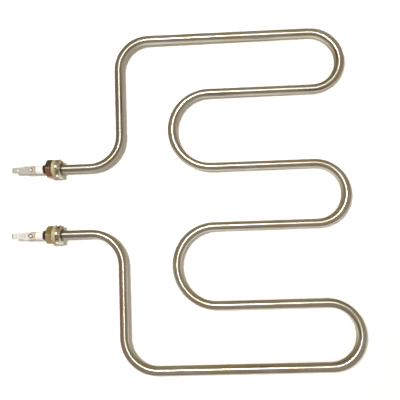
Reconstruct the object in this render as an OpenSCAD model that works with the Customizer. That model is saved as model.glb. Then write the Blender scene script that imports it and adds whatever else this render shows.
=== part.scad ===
// Tubular heating element: one sheathed tube bent into a flat serpentine, with a
// threaded fitting and a push-on blade at each end.
// The origin is midway between the two fittings, on the plane where their hex heads
// meet the sealing rings. +X runs along the tubes into the loop, -X out to the
// blades, and the bends lie in the XY plane. Y = 0 is the mirror plane, and the
// terminal on the +Y side is called the left one.

/* [Tube] */
// Outer diameter of the sheath
tube_d = 8.5; // [7.6:0.1:9]
// Wall of the sheath
tube_wall = 0.7; // [0.5:0.1:0.9]
// Outer diameter of the resistance coil inside
coil_d = 3.5; // [3.2:0.1:4]

/* [Serpentine] */
// Distance between the two tube ends, centre to centre
terminal_pitch = 67; // [60:1:80]
// Centreline radius of the bend that takes each stem out to its side leg
stem_bend_r = 32; // [24:0.5:34]
// Centreline radius of the two outer corner bends
corner_bend_r = 32; // [24:0.5:34]
// Centreline radius of the three U-bends at the far end
far_bend_r = 30; // [26:0.5:34]
// Centreline radius of the two U-bends at the terminal end
near_bend_r = 38.5; // [34:0.5:44]
// Side legs, measured from the sealing plane
leg_x = 64; // [60:0.5:72]
// Centres of the near U-bends, measured from the sealing plane
near_bend_x = 156; // [140:0.5:180]
// Centres of the two outer far U-bends, measured from the sealing plane
far_bend_x = 262; // [230:0.5:330]
// How far the middle far U-bend stops short of the outer two
middle_bend_inset = 3.5; // [0:0.5:10]

/* [Threaded fitting] */
// Outer diameter of the thread
thread_d = 12; // [11.4:0.1:12.6]
// Across flats of the hex head and of the lock nut
hex_af = 18; // [17:0.5:20]
// Rounding of the corners of the hex head and of the lock nut, off the radius
hex_corner_cut = 0.3; // [0.1:0.1:0.6]
// Distance from the flats in to the flat part of a chamfered hex face
hex_face_inset = 0.4; // [0.2:0.1:0.8]
// Thickness of the hex head
head_t = 3.8; // [3:0.1:6]
// Turn of the left hex head, brazed on as it came: 0 has a corner on top
head_turn_left = -6; // [-30:1:30]
// Turn of the right hex head
head_turn_right = -13; // [-30:1:30]
// Thickness of the lock nut
nut_t = 5.7; // [4:0.1:7]
// Countersink of the lock nut's outer mouth
nut_countersink = 0.5; // [0.2:0.1:0.8]
// Turn of the left lock nut once it is tight: 0 has a corner on top
nut_turn_left = 0; // [-30:1:30]
// Turn of the right lock nut once it is tight
nut_turn_right = -6; // [-30:1:30]
// Outer diameter of the sealing ring
gasket_d = 19.5; // [18:0.5:22]
// Thickness of the sealing ring
gasket_t = 4.3; // [4:0.1:6]
// Rounding of the sealing ring's rim
gasket_edge_r = 1.4; // [0:0.1:1.9]
// Thread left free beyond the lock nut
thread_spare = 1.4; // [1.2:0.1:4]
// Diameter of the plain neck that is rolled onto the tube
neck_d = 9.8; // [9.6:0.1:10.4]
// Length of the plain neck
neck_l = 2.9; // [2:0.1:5]
// Leg of the braze fillet between the hex head and the tube
braze_leg = 0.9; // [0.4:0.1:1.5]

/* [Terminal] */
// Outer diameter of the ceramic bush
ceramic_d = 8.6; // [8:0.1:9.6]
// Length of the ceramic bush outside the tube
ceramic_l = 7.8; // [5:0.1:12]
// Rounding of the ceramic bush's edges
ceramic_edge_r = 0.6; // [0.2:0.1:0.7]
// Length of the ceramic spigot inside the tube
spigot_l = 4; // [2:0.5:6]
// Length of the end seal behind the spigot
seal_l = 4; // [3:0.5:8]
// Diameter of the terminal pin
pin_d = 2.5; // [2:0.1:2.8]
// How far the pin stops short of the stem bend
pin_margin = 4; // [2:1:10]
// Length of the pin that the coil is wound onto
pin_grip_l = 8; // [4:1:10]
// Width of the blade where a receptacle slides on
blade_w = 6.3; // [4.8:0.1:6.3]
// Length of that narrow part
blade_l = 11.7; // [9:0.1:14]
// Thickness of the blade
blade_t = 0.8; // [0.5:0.1:1]
// Length of the bevels on both faces of the blade's tip
blade_bevel_l = 1.2; // [0.6:0.1:2]
// Width of the blade's root
root_w = 8; // [7:0.1:9]
// Length of the blade's root
root_l = 13.4; // [12:0.1:18]
// Diameter of the detent hole
detent_d = 1.8; // [1.2:0.1:2]
// Centre of the detent hole, measured from the blade's tip
detent_reach = 5.6; // [4:0.1:6]
// Diameter of the weld mark that joins the blade to the pin
weld_d = 5.2; // [4:0.1:5.6]
// Centre of the weld mark, measured from the ceramic bush
weld_reach = 5.9; // [5:0.1:8]

/* [Clearances] */
// Between the tube and the fitting brazed onto it, on the radius
braze_gap = 0.05; // [0.02:0.01:0.1]
// Between the thread and the lock nut, on the radius
thread_gap = 0.05; // [0.02:0.01:0.1]
// Between the thread and the sealing ring, on the radius
gasket_gap = 0.1; // [0.05:0.05:0.3]
// Between the ceramic spigot and the tube, on the radius
spigot_gap = 0.05; // [0.02:0.01:0.1]
// Between the pin and the ceramic bush, on the radius
pin_gap = 0.1; // [0.05:0.05:0.2]

/* [Hidden] */
$fn = 64;
steel = "#a89d8a";
nickel = "#bdbab2";
zinc = "#8d7f45";
fibre = "#b3ab55";
porcelain = "#f3f1ea";

tube_r = tube_d / 2;
bore_r = tube_r - tube_wall;
coil_r = coil_d / 2;
pin_r = pin_d / 2;
thread_r = thread_d / 2;
neck_r = neck_d / 2;
hex_corner_r = hex_af / sqrt(3) - hex_corner_cut;

// How far the shapes that cut run past the faces they cut
over = 1;

// Stations along the terminal's axis, all measured from the sealing plane
gasket_x = -gasket_t;
nut_x = gasket_x - nut_t;
thread_end_x = nut_x - thread_spare;
neck_end_x = thread_end_x - neck_l;
ceramic_end_x = neck_end_x - ceramic_l;
root_end_x = ceramic_end_x - root_l;
tip_x = root_end_x - blade_l;
seal_x = neck_end_x + spigot_l;
core_x = seal_x + seal_l;
pin_stop_x = leg_x - stem_bend_r - pin_margin;
coil_x = pin_stop_x - pin_grip_l;

// The pin is pressed flat on top where the blade lies on it
pin_flat_z = pin_r / 2;

// Straight runs of the serpentine, worked out from where its bends are
leg_l = 3 * far_bend_r + 2 * near_bend_r - terminal_pitch / 2 - stem_bend_r - corner_bend_r;
outer_run_l = far_bend_x - corner_bend_r - leg_x;
inner_run_l = far_bend_x - near_bend_x;
middle_run_l = inner_run_l - middle_bend_inset;

// The route of the tube from a stem that starts at start_x to its twin on the other
// side: each step is [straight length, 0, 0] or [0, bend radius, turn]
function half_route(start_x) = [
    [leg_x - stem_bend_r - start_x, 0, 0],
    [0, stem_bend_r, 90],
    [leg_l, 0, 0],
    [0, corner_bend_r, -90],
    [outer_run_l, 0, 0],
    [0, far_bend_r, -180],
    [inner_run_l, 0, 0],
    [0, near_bend_r, 180],
    [middle_run_l, 0, 0],
];
function route(start_x) =
    let (half = half_route(start_x))
    concat(half, [[0, far_bend_r, -180]], [for (i = [len(half) - 1 : -1 : 0]) half[i]]);

// Where a step that starts at [x, y, heading] ends
function step_end(at, step) =
    step[1] == 0
    ? [at.x + step[0] * cos(at.z), at.y + step[0] * sin(at.z), at.z]
    : let (r = sign(step[2]) * step[1], heading = at.z + step[2])
      [at.x + r * (sin(heading) - sin(at.z)), at.y - r * (cos(heading) - cos(at.z)), heading];

module ring_section(outer_r, inner_r) {
    difference() {
        circle(r = outer_r);
        if (inner_r > 0) circle(r = inner_r);
    }
}

// A straight tube along +X from x0 to x1
module straight_tube(x0, x1, outer_r, inner_r) {
    translate([x0, 0, 0]) rotate([90, 0, 90])
        linear_extrude(x1 - x0) ring_section(outer_r, inner_r);
}

// A bend that starts at the origin heading +X; the turn is positive to the left
module bent_tube(bend_r, turn, outer_r, inner_r) {
    translate([0, sign(turn) * bend_r, 0]) rotate([0, 0, -sign(turn) * 90])
        rotate_extrude(angle = turn) translate([bend_r, 0]) ring_section(outer_r, inner_r);
}

// A tube, or a rod where inner_r is 0, along the whole route
module routed_tube(start_x, outer_r, inner_r) {
    steps = route(start_x);
    starts = [for (i = 0, at = [start_x, terminal_pitch / 2, 0]; i < len(steps);
              at = step_end(at, steps[i]), i = i + 1) at];
    for (i = [0 : len(steps) - 1])
        translate([starts[i].x, starts[i].y, 0]) rotate([0, 0, starts[i].z])
            if (steps[i][1] == 0) straight_tube(0, steps[i][0], outer_r, inner_r);
            else bent_tube(steps[i][1], steps[i][2], outer_r, inner_r);
}

// Places a piece at one terminal: side is 1 on the left and -1 on the right
module at_terminal(side) {
    translate([0, side * terminal_pitch / 2, 0]) children();
}

// A turned piece on the X axis from an outline of [radius, x] points
module turned(outline) {
    rotate([0, 90, 0]) rotate_extrude() polygon(outline);
}

// A straight tube along +X whose two outer edges are rounded
module rounded_ring(x0, x1, outer_r, inner_r, edge_r) {
    rotate([0, 90, 0]) rotate_extrude() {
        translate([inner_r, x0]) square([outer_r - edge_r - inner_r, x1 - x0]);
        translate([inner_r, x0 + edge_r]) square([outer_r - inner_r, x1 - x0 - 2 * edge_r]);
        for (x = [x0 + edge_r, x1 - edge_r]) translate([outer_r - edge_r, x]) circle(r = edge_r);
    }
}

// A hexagon across hex_af from x0 to x1, with rounded corners: it is chamfered at 30
// degrees at x1 and, where both_ends is true, at x0 too
module hex_body(x0, x1, turn_deg, both_ends) {
    face_r = hex_af / 2 - hex_face_inset;
    drop = (hex_corner_r - face_r) * tan(30);
    start = both_ends ? [[0, x0], [face_r, x0], [hex_corner_r, x0 + drop]]
                      : [[0, x0], [hex_corner_r, x0]];
    intersection() {
        translate([x0, 0, 0]) rotate([0, 90, 0]) rotate([0, 0, turn_deg])
            cylinder(h = x1 - x0, d = hex_af / cos(30), $fn = 6);
        turned(concat(start, [[hex_corner_r, x1 - drop], [face_r, x1], [0, x1]]));
    }
}

module sheath() {
    color(steel) routed_tube(neck_end_x, tube_r, bore_r);
}

// Compacted powder: round the coil and inside its turns, and round the pins' ends
module magnesia_core() {
    color("white") {
        routed_tube(coil_x, bore_r, coil_r);
        for (side = [1, -1]) at_terminal(side) straight_tube(core_x, coil_x, bore_r, pin_r);
        routed_tube(pin_stop_x, pin_r, 0);
    }
}

// Stands for the close-wound wire, gripped at each end on a terminal pin
module heating_coil() {
    color("dimgray") routed_tube(coil_x, coil_r, pin_r);
}

module terminal_pin() {
    pin_end_x = ceramic_end_x - weld_reach - weld_d;
    chamfer = pin_r / 4;
    color(nickel) difference() {
        turned([
            [0, pin_end_x], [pin_r - chamfer, pin_end_x], [pin_r, pin_end_x + chamfer],
            [pin_r, pin_stop_x], [0, pin_stop_x],
        ]);
        translate([pin_end_x - over, -pin_r - over, pin_flat_z])
            cube([ceramic_end_x - pin_end_x + over, pin_d + 2 * over, pin_r]);
    }
}

module end_seal() {
    color("gainsboro") straight_tube(seal_x, core_x, bore_r, pin_r);
}

module ceramic_bush() {
    hole_r = pin_r + pin_gap;
    color(porcelain) {
        rounded_ring(ceramic_end_x, neck_end_x, ceramic_d / 2, hole_r, ceramic_edge_r);
        straight_tube(neck_end_x - ceramic_l / 2, seal_x, bore_r - spigot_gap, hole_r);
    }
}

module blade_outline() {
    tip_chamfer = blade_w / 5;
    shoulder = (root_w - blade_w) / 2;
    half = [
        [tip_x, blade_w / 2 - tip_chamfer], [tip_x + tip_chamfer, blade_w / 2],
        [root_end_x - shoulder / 2, blade_w / 2], [root_end_x + shoulder / 2, root_w / 2],
        [ceramic_end_x, root_w / 2],
    ];
    polygon(concat(half, [for (i = [len(half) - 1 : -1 : 0]) [half[i].x, -half[i].y]]));
}

// The blade lies on the pin's flat and is bevelled at its tip on both faces
module blade() {
    bevel_t = blade_t / 4;
    bevel_x = tip_x + blade_bevel_l;
    weld_x = ceramic_end_x - weld_reach;
    rim_r = blade_t / 2;
    color(nickel) translate([0, 0, pin_flat_z]) difference() {
        union() {
            intersection() {
                linear_extrude(blade_t) blade_outline();
                translate([0, root_w, 0]) rotate([90, 0, 0]) linear_extrude(2 * root_w) polygon([
                    [tip_x, bevel_t], [bevel_x, 0], [ceramic_end_x, 0],
                    [ceramic_end_x, blade_t], [bevel_x, blade_t], [tip_x, blade_t - bevel_t],
                ]);
            }
            // raised rim of the weld mark
            translate([weld_x, 0, blade_t - rim_r / 4])
                rotate_extrude() translate([weld_d / 2 - rim_r, 0]) circle(r = rim_r);
        }
        translate([tip_x + detent_reach, 0, -over]) cylinder(h = blade_t + 2 * over, d = detent_d);
    }
}

// Hex head, thread and rolled neck in one piece, with its braze fillet
module threaded_bush(turn_deg) {
    hole_r = tube_r + braze_gap;
    braze_r = hole_r + braze_leg;
    lead = thread_r - neck_r;
    color(nickel) difference() {
        union() {
            turned([
                [0, neck_end_x], [neck_r, neck_end_x], [neck_r, thread_end_x],
                [thread_r, thread_end_x + lead], [thread_r, head_t / 2],
                [braze_r, head_t / 2], [braze_r, head_t], [hole_r, head_t + braze_leg],
                [0, head_t + braze_leg],
            ]);
            hex_body(0, head_t, turn_deg, false);
        }
        straight_tube(neck_end_x - over, head_t + braze_leg + over, hole_r, 0);
    }
}

module sealing_ring() {
    color(fibre) rounded_ring(gasket_x, 0, gasket_d / 2, thread_r + gasket_gap, gasket_edge_r);
}

module lock_nut(turn_deg) {
    hole_r = thread_r + thread_gap;
    color(zinc) difference() {
        hex_body(nut_x, gasket_x, turn_deg, true);
        turned([
            [0, nut_x - over], [hole_r + nut_countersink + over, nut_x - over],
            [hole_r, nut_x + nut_countersink], [hole_r, gasket_x + over], [0, gasket_x + over],
        ]);
    }
}

sheath();
magnesia_core();
heating_coil();
at_terminal(1) terminal_pin();  // terminal_pin_left
at_terminal(-1) terminal_pin();  // terminal_pin_right
at_terminal(1) end_seal();  // end_seal_left
at_terminal(-1) end_seal();  // end_seal_right
at_terminal(1) ceramic_bush();  // ceramic_bush_left
at_terminal(-1) ceramic_bush();  // ceramic_bush_right
at_terminal(1) blade();  // blade_left
at_terminal(-1) blade();  // blade_right
at_terminal(1) threaded_bush(head_turn_left);  // threaded_bush_left
at_terminal(-1) threaded_bush(head_turn_right);  // threaded_bush_right
at_terminal(1) sealing_ring();  // sealing_ring_left
at_terminal(-1) sealing_ring();  // sealing_ring_right
at_terminal(1) lock_nut(nut_turn_left);  // lock_nut_left
at_terminal(-1) lock_nut(nut_turn_right);  // lock_nut_right
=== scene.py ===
import math

import bmesh
import bpy
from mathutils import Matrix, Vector


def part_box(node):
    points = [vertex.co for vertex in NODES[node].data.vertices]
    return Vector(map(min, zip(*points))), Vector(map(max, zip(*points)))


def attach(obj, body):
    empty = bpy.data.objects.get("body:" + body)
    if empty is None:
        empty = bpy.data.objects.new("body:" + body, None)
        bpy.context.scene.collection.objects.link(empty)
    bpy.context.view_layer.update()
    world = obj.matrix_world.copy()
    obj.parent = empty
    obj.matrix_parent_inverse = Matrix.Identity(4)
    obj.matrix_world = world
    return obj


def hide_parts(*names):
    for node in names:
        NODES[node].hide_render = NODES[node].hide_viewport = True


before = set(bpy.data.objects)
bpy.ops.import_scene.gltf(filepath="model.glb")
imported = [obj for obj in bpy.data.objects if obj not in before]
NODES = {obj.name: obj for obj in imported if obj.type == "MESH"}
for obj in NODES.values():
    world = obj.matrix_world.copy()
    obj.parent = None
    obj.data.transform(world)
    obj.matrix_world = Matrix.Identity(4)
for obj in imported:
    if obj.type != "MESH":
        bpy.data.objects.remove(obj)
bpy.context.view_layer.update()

SIDES = ("left", "right")
MM = 0.001

# As in part.scad: the neck's radius, the thread left free beyond the lock nut, and the distance
# from the ceramic bush to the centre of the weld mark.
NECK_R = 4.9 * MM
THREAD_SPARE = 1.4 * MM
WELD_REACH = 5.9 * MM

# The groove of the thread, how far it runs on inside the lock nut, and the length of a mesh step.
THREAD_PITCH = 1.0 * MM
THREAD_DEPTH = 0.5 * MM
THREAD_HIDDEN = 0.9 * MM
THREAD_STEP = 0.08 * MM


def middle(node):
    lo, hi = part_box(node)
    return (lo + hi) / 2


# ---------- stage, camera and light ----------

# What the metal mirrors: the height of a direction, from straight down (0) to straight up (1), and
# the colour of the room there.
FAR_SIDE = (
    (0.0, (0.47, 0.38, 0.23)),
    (0.5, (0.53, 0.42, 0.23)),
    (0.65, (0.40, 0.34, 0.25)),
    (1.0, (0.54, 0.48, 0.41)),
)
NEAR_SIDE = (
    (0.0, (1.34, 1.32, 1.28)),
    (0.42, (1.18, 1.15, 1.11)),
    (0.5, (0.68, 0.63, 0.56)),
    (0.62, (0.52, 0.47, 0.40)),
    (0.74, (0.32, 0.28, 0.22)),
    (1.0, (0.54, 0.48, 0.41)),
)


def rest_plane():
    """Two points of the plane the element lies on: under a lock nut and under a far bend."""
    nut_lo, nut_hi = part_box("lock_nut_left")
    sheath_lo, sheath_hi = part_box("sheath")
    tube_r = (sheath_hi.z - sheath_lo.z) / 2
    near = Vector(((nut_lo.x + nut_hi.x) / 2, 0, nut_lo.z))
    far = Vector((sheath_hi.x - tube_r, 0, sheath_lo.z))
    return near, far


def make_floor():
    """A white floor just under the element, which the metal doesn't mirror."""
    near, far = rest_plane()
    slope = math.atan2(far.z - near.z, far.x - near.x)
    bpy.ops.mesh.primitive_plane_add(size=6)
    floor = bpy.context.object
    floor.name = "floor"
    floor.rotation_euler = (0, -slope, 0)
    floor.location = near - Vector((0, 0, 0.05 * MM))
    mat, _, bsdf = new_material("floor_white")
    bsdf.inputs["Base Color"].default_value = (0.93, 0.93, 0.93, 1)
    bsdf.inputs["Roughness"].default_value = 0.9
    bsdf.inputs["Specular IOR Level"].default_value = 0.1
    floor.data.materials.append(mat)
    floor.visible_glossy = False


def make_backdrop():
    """A pale surround for low viewing angles, which neither lights the element nor shows in it."""
    bpy.ops.mesh.primitive_uv_sphere_add(radius=2.9, segments=48, ring_count=24)
    backdrop = bpy.context.object
    backdrop.name = "backdrop"
    bpy.ops.object.shade_smooth()
    mat, _, bsdf = new_material("backdrop_pale")
    bsdf.inputs["Base Color"].default_value = (0, 0, 0, 1)
    bsdf.inputs["Specular IOR Level"].default_value = 0
    bsdf.inputs["Emission Color"].default_value = (0.78, 0.75, 0.71, 1)
    bsdf.inputs["Emission Strength"].default_value = 1
    backdrop.data.materials.append(mat)
    backdrop.visible_diffuse = False
    backdrop.visible_glossy = False
    backdrop.visible_shadow = False


def make_camera():
    """The photo's viewpoint, nearly straight above the middle of the element."""
    data = bpy.data.cameras.new("camera")
    camera = bpy.data.objects.new("camera", data)
    bpy.context.scene.collection.objects.link(camera)
    camera.location = (0.1112, -0.0201, 0.2613)
    camera.rotation_euler = (math.radians(3.96), math.radians(1.23), math.radians(-1.91))
    data.sensor_width = 36
    data.lens = 23.4
    data.shift_x = 0.092
    data.clip_start = 0.01
    bpy.context.scene.camera = camera


def add_light(name, kind, loc, target):
    """A light at loc that faces target."""
    data = bpy.data.lights.new(name, kind)
    data.energy = 1.0
    light = bpy.data.objects.new(name, data)
    light.location = loc
    aim = Vector(target) - Vector(loc)
    light.rotation_euler = aim.to_track_quat("-Z", "Y").to_euler()
    bpy.context.scene.collection.objects.link(light)
    return light


def even_falloff(data, strength):
    """The light is as strong at one end of the element as at the other."""
    data.use_nodes = True
    nt = data.node_tree
    falloff = add(nt, "ShaderNodeLightFalloff", Strength=strength)
    nt.links.new(falloff.outputs["Constant"], nt.nodes["Emission"].inputs["Strength"])


def make_world():
    """A dim warm room on the far side of each tube, a pale surface on its near side."""
    world = bpy.data.worlds.new("studio")
    bpy.context.scene.world = world
    world.use_nodes = True
    nt = world.node_tree
    nt.nodes.clear()
    direction = add(nt, "ShaderNodeTexCoord").outputs["Generated"]
    height = mask(nt, split(nt, direction)[2], -1.0, 1.0)
    toward = add(nt, "ShaderNodeVectorMath", operation="DOT_PRODUCT")
    toward.inputs[1].default_value = (0.04, -1.0, 0)
    nt.links.new(direction, toward.inputs[0])
    side = mask(nt, toward.outputs["Value"], -0.05, 0.32)
    color = mix(nt, side, ramp(nt, height, FAR_SIDE), ramp(nt, height, NEAR_SIDE))
    background = add(nt, "ShaderNodeBackground", Color=color)
    out = add(nt, "ShaderNodeOutputWorld")
    nt.links.new(background.outputs[0], out.inputs[0])


def make_lights():
    """The lamp is what the metal mirrors; the bulb lights the rest and throws the shadows."""
    centre = (0.12, 0, 0)
    lamp = add_light("lamp", "AREA", (0.14, 0.12, 0.38), centre)
    lamp.data.shape = "ELLIPSE"
    lamp.data.size = 0.13
    lamp.data.size_y = 0.17
    lamp.data.color = (0.95, 0.975, 1.0)
    even_falloff(lamp.data, 12.3)
    lamp.visible_diffuse = False
    bulb = add_light("bulb", "POINT", (-0.02, 0.05, 0.38), centre)
    bulb.data.shadow_soft_size = 0.035
    bulb.visible_glossy = False
    even_falloff(bulb.data, 40)


# ---------- shader helpers ----------

def new_material(name):
    """A material, its node tree and its shader."""
    mat = bpy.data.materials.new(name)
    mat.use_nodes = True
    return mat, mat.node_tree, mat.node_tree.nodes["Principled BSDF"]


def add(nt, kind, operation=None, **inputs):
    """A shader node; an input is given as a number, a colour or another node's socket."""
    node = nt.nodes.new(kind)
    if operation:
        node.operation = operation
    for name, value in inputs.items():
        feed(nt, node.inputs[name.replace("_", " ")], value)
    return node


def feed(nt, socket, value):
    """Links value to socket if it is a socket itself, and else sets it as socket's own value."""
    if isinstance(value, bpy.types.NodeSocket):
        nt.links.new(value, socket)
    elif socket.type == "RGBA":
        socket.default_value = (*value, 1)
    else:
        socket.default_value = value


def split(nt, vector):
    return add(nt, "ShaderNodeSeparateXYZ", Vector=vector).outputs


def join(nt, x, y, z):
    return add(nt, "ShaderNodeCombineXYZ", X=x, Y=y, Z=z).outputs[0]


def math_op(nt, operation, a, b=0.0):
    node = add(nt, "ShaderNodeMath", operation)
    feed(nt, node.inputs[0], a)
    feed(nt, node.inputs[1], b)
    return node.outputs[0]


def times(nt, a, b):
    return math_op(nt, "MULTIPLY", a, b)


def mask(nt, value, lo, hi):
    """0 where value is at lo or beyond it, 1 at hi or beyond it, and smooth between."""
    node = add(nt, "ShaderNodeMapRange", Value=value)
    node.interpolation_type = "SMOOTHSTEP"
    node.inputs["From Min"].default_value = lo
    node.inputs["From Max"].default_value = hi
    return node.outputs["Result"]


def span(nt, value, lo, hi, soft):
    """1 between lo and hi, with edges that fade over soft."""
    rise = mask(nt, value, lo - soft, lo + soft)
    fall = mask(nt, value, hi + soft, hi - soft)
    return times(nt, rise, fall)


def ramp(nt, value, stops):
    """A colour ramp with (position, colour) stops."""
    node = add(nt, "ShaderNodeValToRGB", Fac=value)
    els = node.color_ramp.elements
    while len(els) < len(stops):
        els.new(0.5)
    for el, (pos, color) in zip(els, stops):
        el.position = pos
        el.color = (*color, 1)
    return node.outputs["Color"]


def mix(nt, fac, a, b):
    """Colour a where fac is 0 and b where it is 1."""
    node = nt.nodes.new("ShaderNodeMix")
    node.data_type = "RGBA"
    feed(nt, node.inputs["Factor"], fac)
    slots = [s for s in node.inputs if s.type == "RGBA"]
    feed(nt, slots[0], a)
    feed(nt, slots[1], b)
    return [s for s in node.outputs if s.type == "RGBA"][0]


def noise(nt, vector, size, detail=3.0):
    """Soft noise from 0 to 1 whose grains are about size across."""
    node = add(nt, "ShaderNodeTexNoise", Vector=vector, Scale=1 / size, Detail=detail)
    return node.outputs["Fac"]


def stretched(nt, xyz, sx, sy, sz):
    """Scaled coordinates: noise on them comes out drawn out along an axis scaled by less than 1."""
    return join(nt, times(nt, xyz[0], sx), times(nt, xyz[1], sy), times(nt, xyz[2], sz))


def position(nt):
    return nt.nodes.new("ShaderNodeNewGeometry").outputs["Position"]


def surface_normal(nt):
    return nt.nodes.new("ShaderNodeNewGeometry").outputs["Normal"]


def distance(nt, a, b, a0, b0):
    """How far the point (a, b) lies from (a0, b0)."""
    da = math_op(nt, "SUBTRACT", a, a0)
    db = math_op(nt, "SUBTRACT", b, b0)
    square = math_op(nt, "ADD", math_op(nt, "POWER", da, 2.0), math_op(nt, "POWER", db, 2.0))
    return math_op(nt, "SQRT", square)


def from_axis(nt, y, z, side):
    """Distance from the line that the terminal of this side is turned about."""
    axis = middle("lock_nut_" + side)
    return distance(nt, y, z, axis.y, axis.z)


def bump(nt, bsdf, height, depth):
    node = add(nt, "ShaderNodeBump", Height=height, Strength=1.0, Distance=depth)
    nt.links.new(node.outputs[0], bsdf.inputs["Normal"])


def finish(nt, bsdf, color, metallic, rough):
    """Sets the shader's three main inputs, each a constant or a socket."""
    feed(nt, bsdf.inputs["Base Color"], color)
    feed(nt, bsdf.inputs["Metallic"], metallic)
    feed(nt, bsdf.inputs["Roughness"], rough)


def between(nt, value, lo, hi):
    """lo where value is 0, hi where it is 1, and in proportion between."""
    node = add(nt, "ShaderNodeMapRange", Value=value)
    node.inputs["To Min"].default_value = lo
    node.inputs["To Max"].default_value = hi
    return node.outputs["Result"]


def dress(node, mat):
    """Gives a CAD node its material."""
    for slot in NODES[node].material_slots:
        slot.material = mat


# ---------- the thread ----------

def threaded_fitting(side):
    """The fitting again, with its thread cut into the end that stands out of the lock nut."""
    nut_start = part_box("lock_nut_" + side)[0].x
    axis = middle("lock_nut_" + side)
    start = nut_start - THREAD_SPARE
    stop = nut_start + THREAD_HIDDEN
    bm = bmesh.new()
    bm.from_mesh(NODES["threaded_bush_" + side].data)
    bmesh.ops.remove_doubles(bm, verts=bm.verts[:], dist=0.001 * MM)
    for i in range(1, round((stop - start) / THREAD_STEP)):
        everything = bm.verts[:] + bm.edges[:] + bm.faces[:]
        x = start + i * THREAD_STEP
        bmesh.ops.bisect_plane(bm, geom=everything, plane_co=(x, 0, 0), plane_no=(1, 0, 0))
    for vert in bm.verts:
        if start < vert.co.x < stop:
            sink_into_groove(vert, axis, stop)
    mesh = bpy.data.meshes.new("threaded_fitting_" + side)
    bm.to_mesh(mesh)
    bm.free()
    if "custom_normal" in mesh.attributes:
        mesh.attributes.remove(mesh.attributes["custom_normal"])
    mesh.shade_smooth()
    mesh.set_sharp_from_angle(angle=math.radians(32))
    mesh.materials.clear()
    mesh.materials.append(fitting_steel(side))
    piece = bpy.data.objects.new("threaded_fitting_" + side, mesh)
    bpy.context.scene.collection.objects.link(piece)
    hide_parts("threaded_bush_" + side)
    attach(piece, "root")


def sink_into_groove(vert, axis, stop):
    """Moves a point of the thread towards the axis where the helical groove passes it."""
    dy = vert.co.y - axis.y
    dz = vert.co.z - axis.z
    radius = math.hypot(dy, dz)
    if radius <= NECK_R:
        return
    turn = vert.co.x / THREAD_PITCH + math.atan2(dz, dy) / math.tau
    triangle = 1 - abs(2 * (turn % 1) - 1)
    run_out = min(1, (stop - vert.co.x) / (0.5 * THREAD_PITCH))
    depth = THREAD_DEPTH * triangle * run_out
    scale = max(radius - depth, NECK_R) / radius
    vert.co.y = axis.y + dy * scale
    vert.co.z = axis.z + dz * scale


# ---------- materials ----------

# Sheath
DRAWN_LINE_AND_SHADE = (0.21, 0.18, 0.13)
WARM_CLOUD = (0.46, 0.415, 0.32)
COPPER_FLANK_SHADE = (0.33, 0.14, 0.095)
SHANK_GREY = (0.53, 0.495, 0.44)
# Blades
WELD_METAL_AND_GLINT = (0.92, 0.90, 0.85)
WELD_SCORCH = (0.10, 0.068, 0.016)
BEVELLED_TIP = (0.22, 0.19, 0.15)
BLADE_EDGE = (0.25, 0.23, 0.20)
# Ceramic bushes
NEAR_NECK_GREY = (0.55, 0.52, 0.47)
# Threaded bushes
SILVER_CLOUD = (0.68, 0.66, 0.61)
TURNING_MARK = (0.28, 0.24, 0.18)
END_FACE_REFLECTION = (0.60, 0.575, 0.51)
CORNER_GLINT_WHITE = (1.0, 0.99, 0.97)
TUBE_EXIT_SHADE = (0.13, 0.105, 0.04)
ROLLED_NECK = (0.085, 0.065, 0.045)
# Sealing rings
FIBRE_TOP_HIGHLIGHT = (0.43, 0.40, 0.24)
BROWN_FIBRE = (0.30, 0.26, 0.11)
# Lock nuts
BARE_ZINC_AND_GLINT = (1.0, 0.98, 0.94)


def run_along_tube(nt, bsdf, normal):
    """Draws the highlight out along the tube, which lies level everywhere."""
    cross = add(nt, "ShaderNodeVectorMath", "CROSS_PRODUCT")
    cross.inputs[1].default_value = (0, 0, 1)
    nt.links.new(normal, cross.inputs[0])
    unit = add(nt, "ShaderNodeVectorMath", "NORMALIZE")
    nt.links.new(cross.outputs[0], unit.inputs[0])
    nt.links.new(unit.outputs[0], bsdf.inputs["Tangent"])


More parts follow.
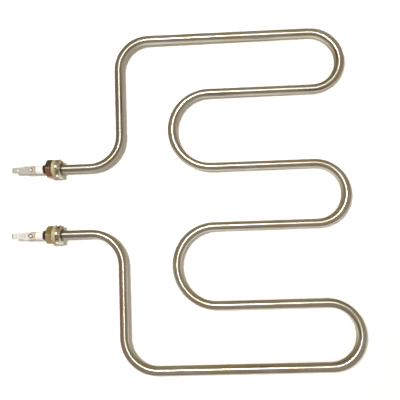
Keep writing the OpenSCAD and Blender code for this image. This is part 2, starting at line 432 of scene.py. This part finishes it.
def sheath_steel():
    """Bright drawn steel with fine lengthwise lines kept to its flanks as partly painted shade, and
    copper brown painted as shade on the legs' flank facing -X.
    """
    mat, nt, bsdf = new_material("sheath_steel")
    pos = position(nt)
    x, y, _ = split(nt, pos)
    normal = surface_normal(nt)
    nx, _, nz = split(nt, normal)
    around = math_op(nt, "ARCCOSINE", nz)
    streak = noise(nt, stretched(nt, (x, y, around), 6.0, 6.0, 1.0), 0.09, 4.0)
    line = noise(nt, stretched(nt, (x, y, around), 4.0, 4.0, 1.0), 0.26, 1.0)
    cloud = noise(nt, pos, 25 * MM)

    color = ramp(nt, streak, (
        (0.3, (0.40, 0.37, 0.31)), (0.5, (0.53, 0.50, 0.435)), (0.7, (0.58, 0.55, 0.49))))
    # Drawing lines, kept off the top of the tube so that they darken only its flanks: partly real
    # lines, partly painted shade.
    drawn_line_and_shade = times(nt, mask(nt, line, 0.47, 0.33), mask(nt, around, 0.3, 0.6))
    color = mix(nt, drawn_line_and_shade, color, DRAWN_LINE_AND_SHADE)
    color = mix(nt, mask(nt, cloud, 0.35, 0.7), color, WARM_CLOUD)

    by_legs = mask(nt, x, 110 * MM, 75 * MM)
    to_right = mask(nt, y, 40 * MM, -40 * MM)
    # Painted shade: copper brown in streaks on the legs' flank that faces -X, strongest on the -Y
    # leg.
    outer_flank = times(nt, by_legs, mask(nt, nx, -0.2, -0.65))
    flank_shade = times(nt, outer_flank, between(nt, to_right, 0.35, 1.0))
    color = mix(nt, times(nt, flank_shade, mask(nt, streak, 0.25, 0.55)), color, COPPER_FLANK_SHADE)
    shank = mask(nt, x, 48 * MM, 25 * MM)
    color = mix(nt, times(nt, shank, 0.6), color, SHANK_GREY)

    dull_leg = times(nt, by_legs, between(nt, to_right, 0.2, 0.04))
    dull = math_op(nt, "MAXIMUM", dull_leg, times(nt, shank, 0.24))
    finish(nt, bsdf, color, 1.0, math_op(nt, "ADD", between(nt, streak, 0.30, 0.35), dull))
    bsdf.inputs["Anisotropic"].default_value = 0.98
    run_along_tube(nt, bsdf, normal)
    return mat


def blade_steel(side, pale, tinted):
    """Tinned blade: faint lengthwise grain, a dark bevelled tip, and the burnt ring of the weld."""
    mat, nt, bsdf = new_material("blade_steel_" + side)
    pos = position(nt)
    xyz = split(nt, pos)
    nz = split(nt, surface_normal(nt))[2]
    lo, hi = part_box("blade_" + side)
    weld_x = hi.x - WELD_REACH
    from_weld = distance(nt, xyz[0], xyz[1], weld_x, (lo.y + hi.y) / 2)
    grain = noise(nt, stretched(nt, xyz, 0.12, 1.0, 1.0), 0.5 * MM, 4.0)
    cloud = noise(nt, pos, 2.5 * MM)

    duller = tuple(0.86 * c for c in pale)
    color = mix(nt, mask(nt, grain, 0.3, 0.7), duller, pale)
    color = mix(nt, times(nt, mask(nt, cloud, 0.45, 0.8), 0.5), color, tinted)
    heat = times(nt, mask(nt, xyz[0], weld_x - 1.5 * MM, weld_x + 2 * MM),
                 mask(nt, cloud, 0.25, 0.6))
    color = mix(nt, heat, color, tinted)
    # A pale disc within 3 mm of the weld: bright weld metal, and a painted highlight on the raised
    # rim.
    weld_metal_and_glint = times(nt, mask(nt, from_weld, 3.2 * MM, 2.7 * MM), 0.7)
    color = mix(nt, weld_metal_and_glint, color, WELD_METAL_AND_GLINT)
    scorch = times(nt, span(nt, from_weld, 1.35 * MM, 2.5 * MM, 0.3 * MM),
                   mask(nt, noise(nt, pos, 1.3 * MM), 0.32, 0.46))
    color = mix(nt, scorch, color, WELD_SCORCH)
    tip = mask(nt, xyz[0], lo.x + 1.3 * MM, lo.x + 0.9 * MM)
    color = mix(nt, tip, color, BEVELLED_TIP)
    edge = mask(nt, nz, 0.8, 0.4)
    color = mix(nt, times(nt, edge, 0.6), color, BLADE_EDGE)
    finish(nt, bsdf, color, 0.45, between(nt, grain, 0.32, 0.5))
    bump(nt, bsdf, grain, 0.02 * MM)
    return mat


def pin_steel(side):
    """Nickelled pin with fine lengthwise grain."""
    mat, nt, bsdf = new_material("pin_steel_" + side)
    xyz = split(nt, position(nt))
    grain = noise(nt, stretched(nt, xyz, 0.2, 1.0, 1.0), 0.6 * MM)
    color = ramp(nt, grain, ((0.3, (0.30, 0.27, 0.23)), (0.7, (0.50, 0.48, 0.44))))
    finish(nt, bsdf, color, 1.0, between(nt, grain, 0.3, 0.5))
    bump(nt, bsdf, grain, 0.02 * MM)
    return mat


def porcelain(side):
    """White unglazed bush with faint grey clouds, and grey speckles along the end next to its dark
    neighbour.
    """
    mat, nt, bsdf = new_material("porcelain_" + side)
    pos = position(nt)
    x = split(nt, pos)[0]
    inner_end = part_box("ceramic_bush_" + side)[1].x
    cloud = noise(nt, pos, 3 * MM)
    fine = noise(nt, pos, 0.3 * MM)
    color = ramp(nt, cloud, ((0.3, (0.66, 0.65, 0.63)), (0.7, (0.74, 0.735, 0.72))))
    # Grey speckles within 1.6 mm of the end that meets the dark neck.
    near_neck_speckle = times(nt, mask(nt, x, inner_end - 1.6 * MM, inner_end), mask(nt, fine, 0.3, 0.8))
    color = mix(nt, near_neck_speckle, color, NEAR_NECK_GREY)
    finish(nt, bsdf, color, 0.0, between(nt, fine, 0.38, 0.55))
    bump(nt, bsdf, fine, 0.015 * MM)
    return mat


def fitting_steel(side):
    """Turned and plated steel: dark rolled neck, a head painted brown to silver by which way it
    faces as painted shade and reflection, painted corner highlights, a painted reflection on the
    end face, and painted shade round the tube at the braze.
    """
    mat, nt, bsdf = new_material("fitting_steel_" + side)
    pos = position(nt)
    x, y, z = split(nt, pos)
    nx, ny, _ = split(nt, surface_normal(nt))
    nut_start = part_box("lock_nut_" + side)[0].x
    head_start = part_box("sealing_ring_" + side)[1].x
    radius = from_axis(nt, y, z, side)
    fine = noise(nt, pos, 0.35 * MM)
    cloud = noise(nt, pos, 2.4 * MM)
    rings = noise(nt, join(nt, x, radius, 0.0), 0.25 * MM)

    # Painted shade and reflection: the colour follows which way the surface faces in Y, dark brown
    # where it faces +Y, silver where it faces half way towards +Y, brown on the rest.
    color = ramp(nt, between(nt, ny, 1.0, 0.0), (
        (0.0, (0.16, 0.11, 0.06)), (0.25, (0.22, 0.17, 0.09)), (0.45, (0.46, 0.42, 0.33)),
        (0.8, (0.30, 0.24, 0.16))))
    color = mix(nt, mask(nt, cloud, 0.42, 0.62), color, SILVER_CLOUD)
    color = mix(nt, times(nt, mask(nt, rings, 0.45, 0.7), 0.5), color, TURNING_MARK)
    # Painted reflection: the end face, turned to +X, is painted pale and made less metallic to
    # stand for the pale floor in front of it.
    end_face = mask(nt, nx, 0.5, 0.9)
    color = mix(nt, times(nt, end_face, 0.7), color, END_FACE_REFLECTION)
    # Painted highlight: near-white, less metallic rounded corners along the head's first 2.8 mm
    # from the sealing ring.
    corner = mask(nt, radius, 9.65 * MM, 9.85 * MM)
    corner_glint = times(nt, corner, mask(nt, x, head_start + 2.8 * MM, head_start + 1.8 * MM))
    color = mix(nt, corner_glint, color, CORNER_GLINT_WHITE)
    # Painted shade: a dark ring round the tube where it leaves the head.
    tube_exit_shade = times(nt, mask(nt, radius, 7.4 * MM, 5.4 * MM),
                  mask(nt, x, head_start, head_start + 1 * MM))
    color = mix(nt, tube_exit_shade, color, TUBE_EXIT_SHADE)
    neck = mask(nt, x, nut_start + 1 * MM, nut_start - 0.5 * MM)
    color = mix(nt, neck, color, ROLLED_NECK)

    # The painted highlights and the painted end-face reflection are made less metallic, so that
    # they show their pale colour.
    matt = math_op(nt, "MAXIMUM", corner_glint, times(nt, end_face, 0.4))
    finish(nt, bsdf, color, between(nt, matt, 1.0, 0.2), between(nt, fine, 0.24, 0.42))
    bump(nt, bsdf, rings, 0.02 * MM)
    return mat


def gasket_fibre(side):
    """Khaki fibre washer, with a painted highlight where its rim faces up."""
    mat, nt, bsdf = new_material("gasket_fibre_" + side)
    pos = position(nt)
    nz = split(nt, surface_normal(nt))[2]
    fibre = noise(nt, stretched(nt, split(nt, pos), 1.0, 0.35, 0.35), 0.4 * MM, 5.0)
    cloud = noise(nt, pos, 4 * MM)
    color = ramp(nt, fibre, ((0.3, (0.27, 0.245, 0.12)), (0.7, (0.37, 0.34, 0.175))))
    # Painted highlight: paler where the surface faces up.
    color = mix(nt, times(nt, mask(nt, nz, 0.75, 1.0), 0.6), color, FIBRE_TOP_HIGHLIGHT)
    color = mix(nt, times(nt, mask(nt, cloud, 0.45, 0.8), 0.5), color, BROWN_FIBRE)
    finish(nt, bsdf, color, 0.0, between(nt, fibre, 0.5, 0.75))
    bump(nt, bsdf, fibre, 0.05 * MM)
    return mat


def plated_nut(side, upper, lower, cloud_tint):
    """Passivated plating, clouded, with its facets painted in two colours by which way they face as
    painted shade and reflection, and painted highlight spots on the corners.
    """
    mat, nt, bsdf = new_material("plated_nut_" + side)
    pos = position(nt)
    _, y, z = split(nt, pos)
    ny = split(nt, surface_normal(nt))[1]
    cloud = noise(nt, pos, 2.2 * MM)
    fine = noise(nt, pos, 0.3 * MM)
    # Painted shade and reflection: facets that face +Y take the upper colour, those that face -Y
    # the lower.
    color = mix(nt, mask(nt, ny, 0.25, -0.25), upper, lower)
    color = mix(nt, times(nt, mask(nt, cloud, 0.4, 0.75), 0.6), color, cloud_tint)
    # White spots on the corners: painted highlights, spotted like worn plating.
    corner = mask(nt, from_axis(nt, y, z, side), 9.8 * MM, 9.95 * MM)
    corner_glint = times(nt, corner, mask(nt, noise(nt, pos, 0.7 * MM), 0.54, 0.62))
    color = mix(nt, corner_glint, color, BARE_ZINC_AND_GLINT)
    finish(nt, bsdf, color, 0.9, between(nt, fine, 0.22, 0.4))
    bump(nt, bsdf, fine, 0.015 * MM)
    return mat


def hidden_filling(name, grain_size, dark, pale, metallic, rough_range):
    """Material of a piece hidden inside the sheath: two close shades in a fine noise."""
    mat, nt, bsdf = new_material(name)
    grain = noise(nt, position(nt), grain_size)
    color = ramp(nt, grain, ((0.3, dark), (0.7, pale)))
    finish(nt, bsdf, color, metallic, between(nt, grain, *rough_range))
    bump(nt, bsdf, grain, 0.03 * MM)
    return mat


def magnesia():
    return hidden_filling("magnesia", 1.5 * MM, dark=(0.83, 0.82, 0.78), pale=(0.93, 0.92, 0.89),
                          metallic=0.0, rough_range=(0.8, 0.95))


def coil_wire():
    return hidden_filling("coil_wire", 0.5 * MM, dark=(0.36, 0.35, 0.33), pale=(0.50, 0.49, 0.47),
                          metallic=1.0, rough_range=(0.35, 0.55))


def seal_silicone(side):
    return hidden_filling("seal_silicone_" + side, 0.8 * MM, dark=(0.74, 0.72, 0.68),
                          pale=(0.85, 0.83, 0.79), metallic=0.0, rough_range=(0.5, 0.65))


# ---------- the scene ----------

bpy.context.scene.view_settings.view_transform = "Standard"
make_camera()
make_floor()
make_backdrop()
make_world()
make_lights()

dress("sheath", sheath_steel())
dress("magnesia_core", magnesia())
dress("heating_coil", coil_wire())
# The left blade is given a darker pale colour than the right one: painted shade on the same tinned
# steel.
dress("blade_left", blade_steel("left", pale=(0.54, 0.53, 0.48), tinted=(0.46, 0.40, 0.28)))
dress("blade_right", blade_steel("right", pale=(0.82, 0.82, 0.78), tinted=(0.50, 0.41, 0.29)))
# Each nut's upper and lower colours are the painted shade and reflection of its +Y and -Y facets.
dress("lock_nut_left", plated_nut(
    "left", upper=(0.10, 0.095, 0.03), lower=(0.40, 0.17, 0.11), cloud_tint=(0.22, 0.14, 0.08)))
dress("lock_nut_right", plated_nut(
    "right", upper=(0.36, 0.32, 0.11), lower=(0.66, 0.46, 0.27), cloud_tint=(0.47, 0.36, 0.17)))
for side in SIDES:
    dress("end_seal_" + side, seal_silicone(side))
    dress("terminal_pin_" + side, pin_steel(side))
    dress("ceramic_bush_" + side, porcelain(side))
    dress("sealing_ring_" + side, gasket_fibre(side))
    threaded_fitting(side)
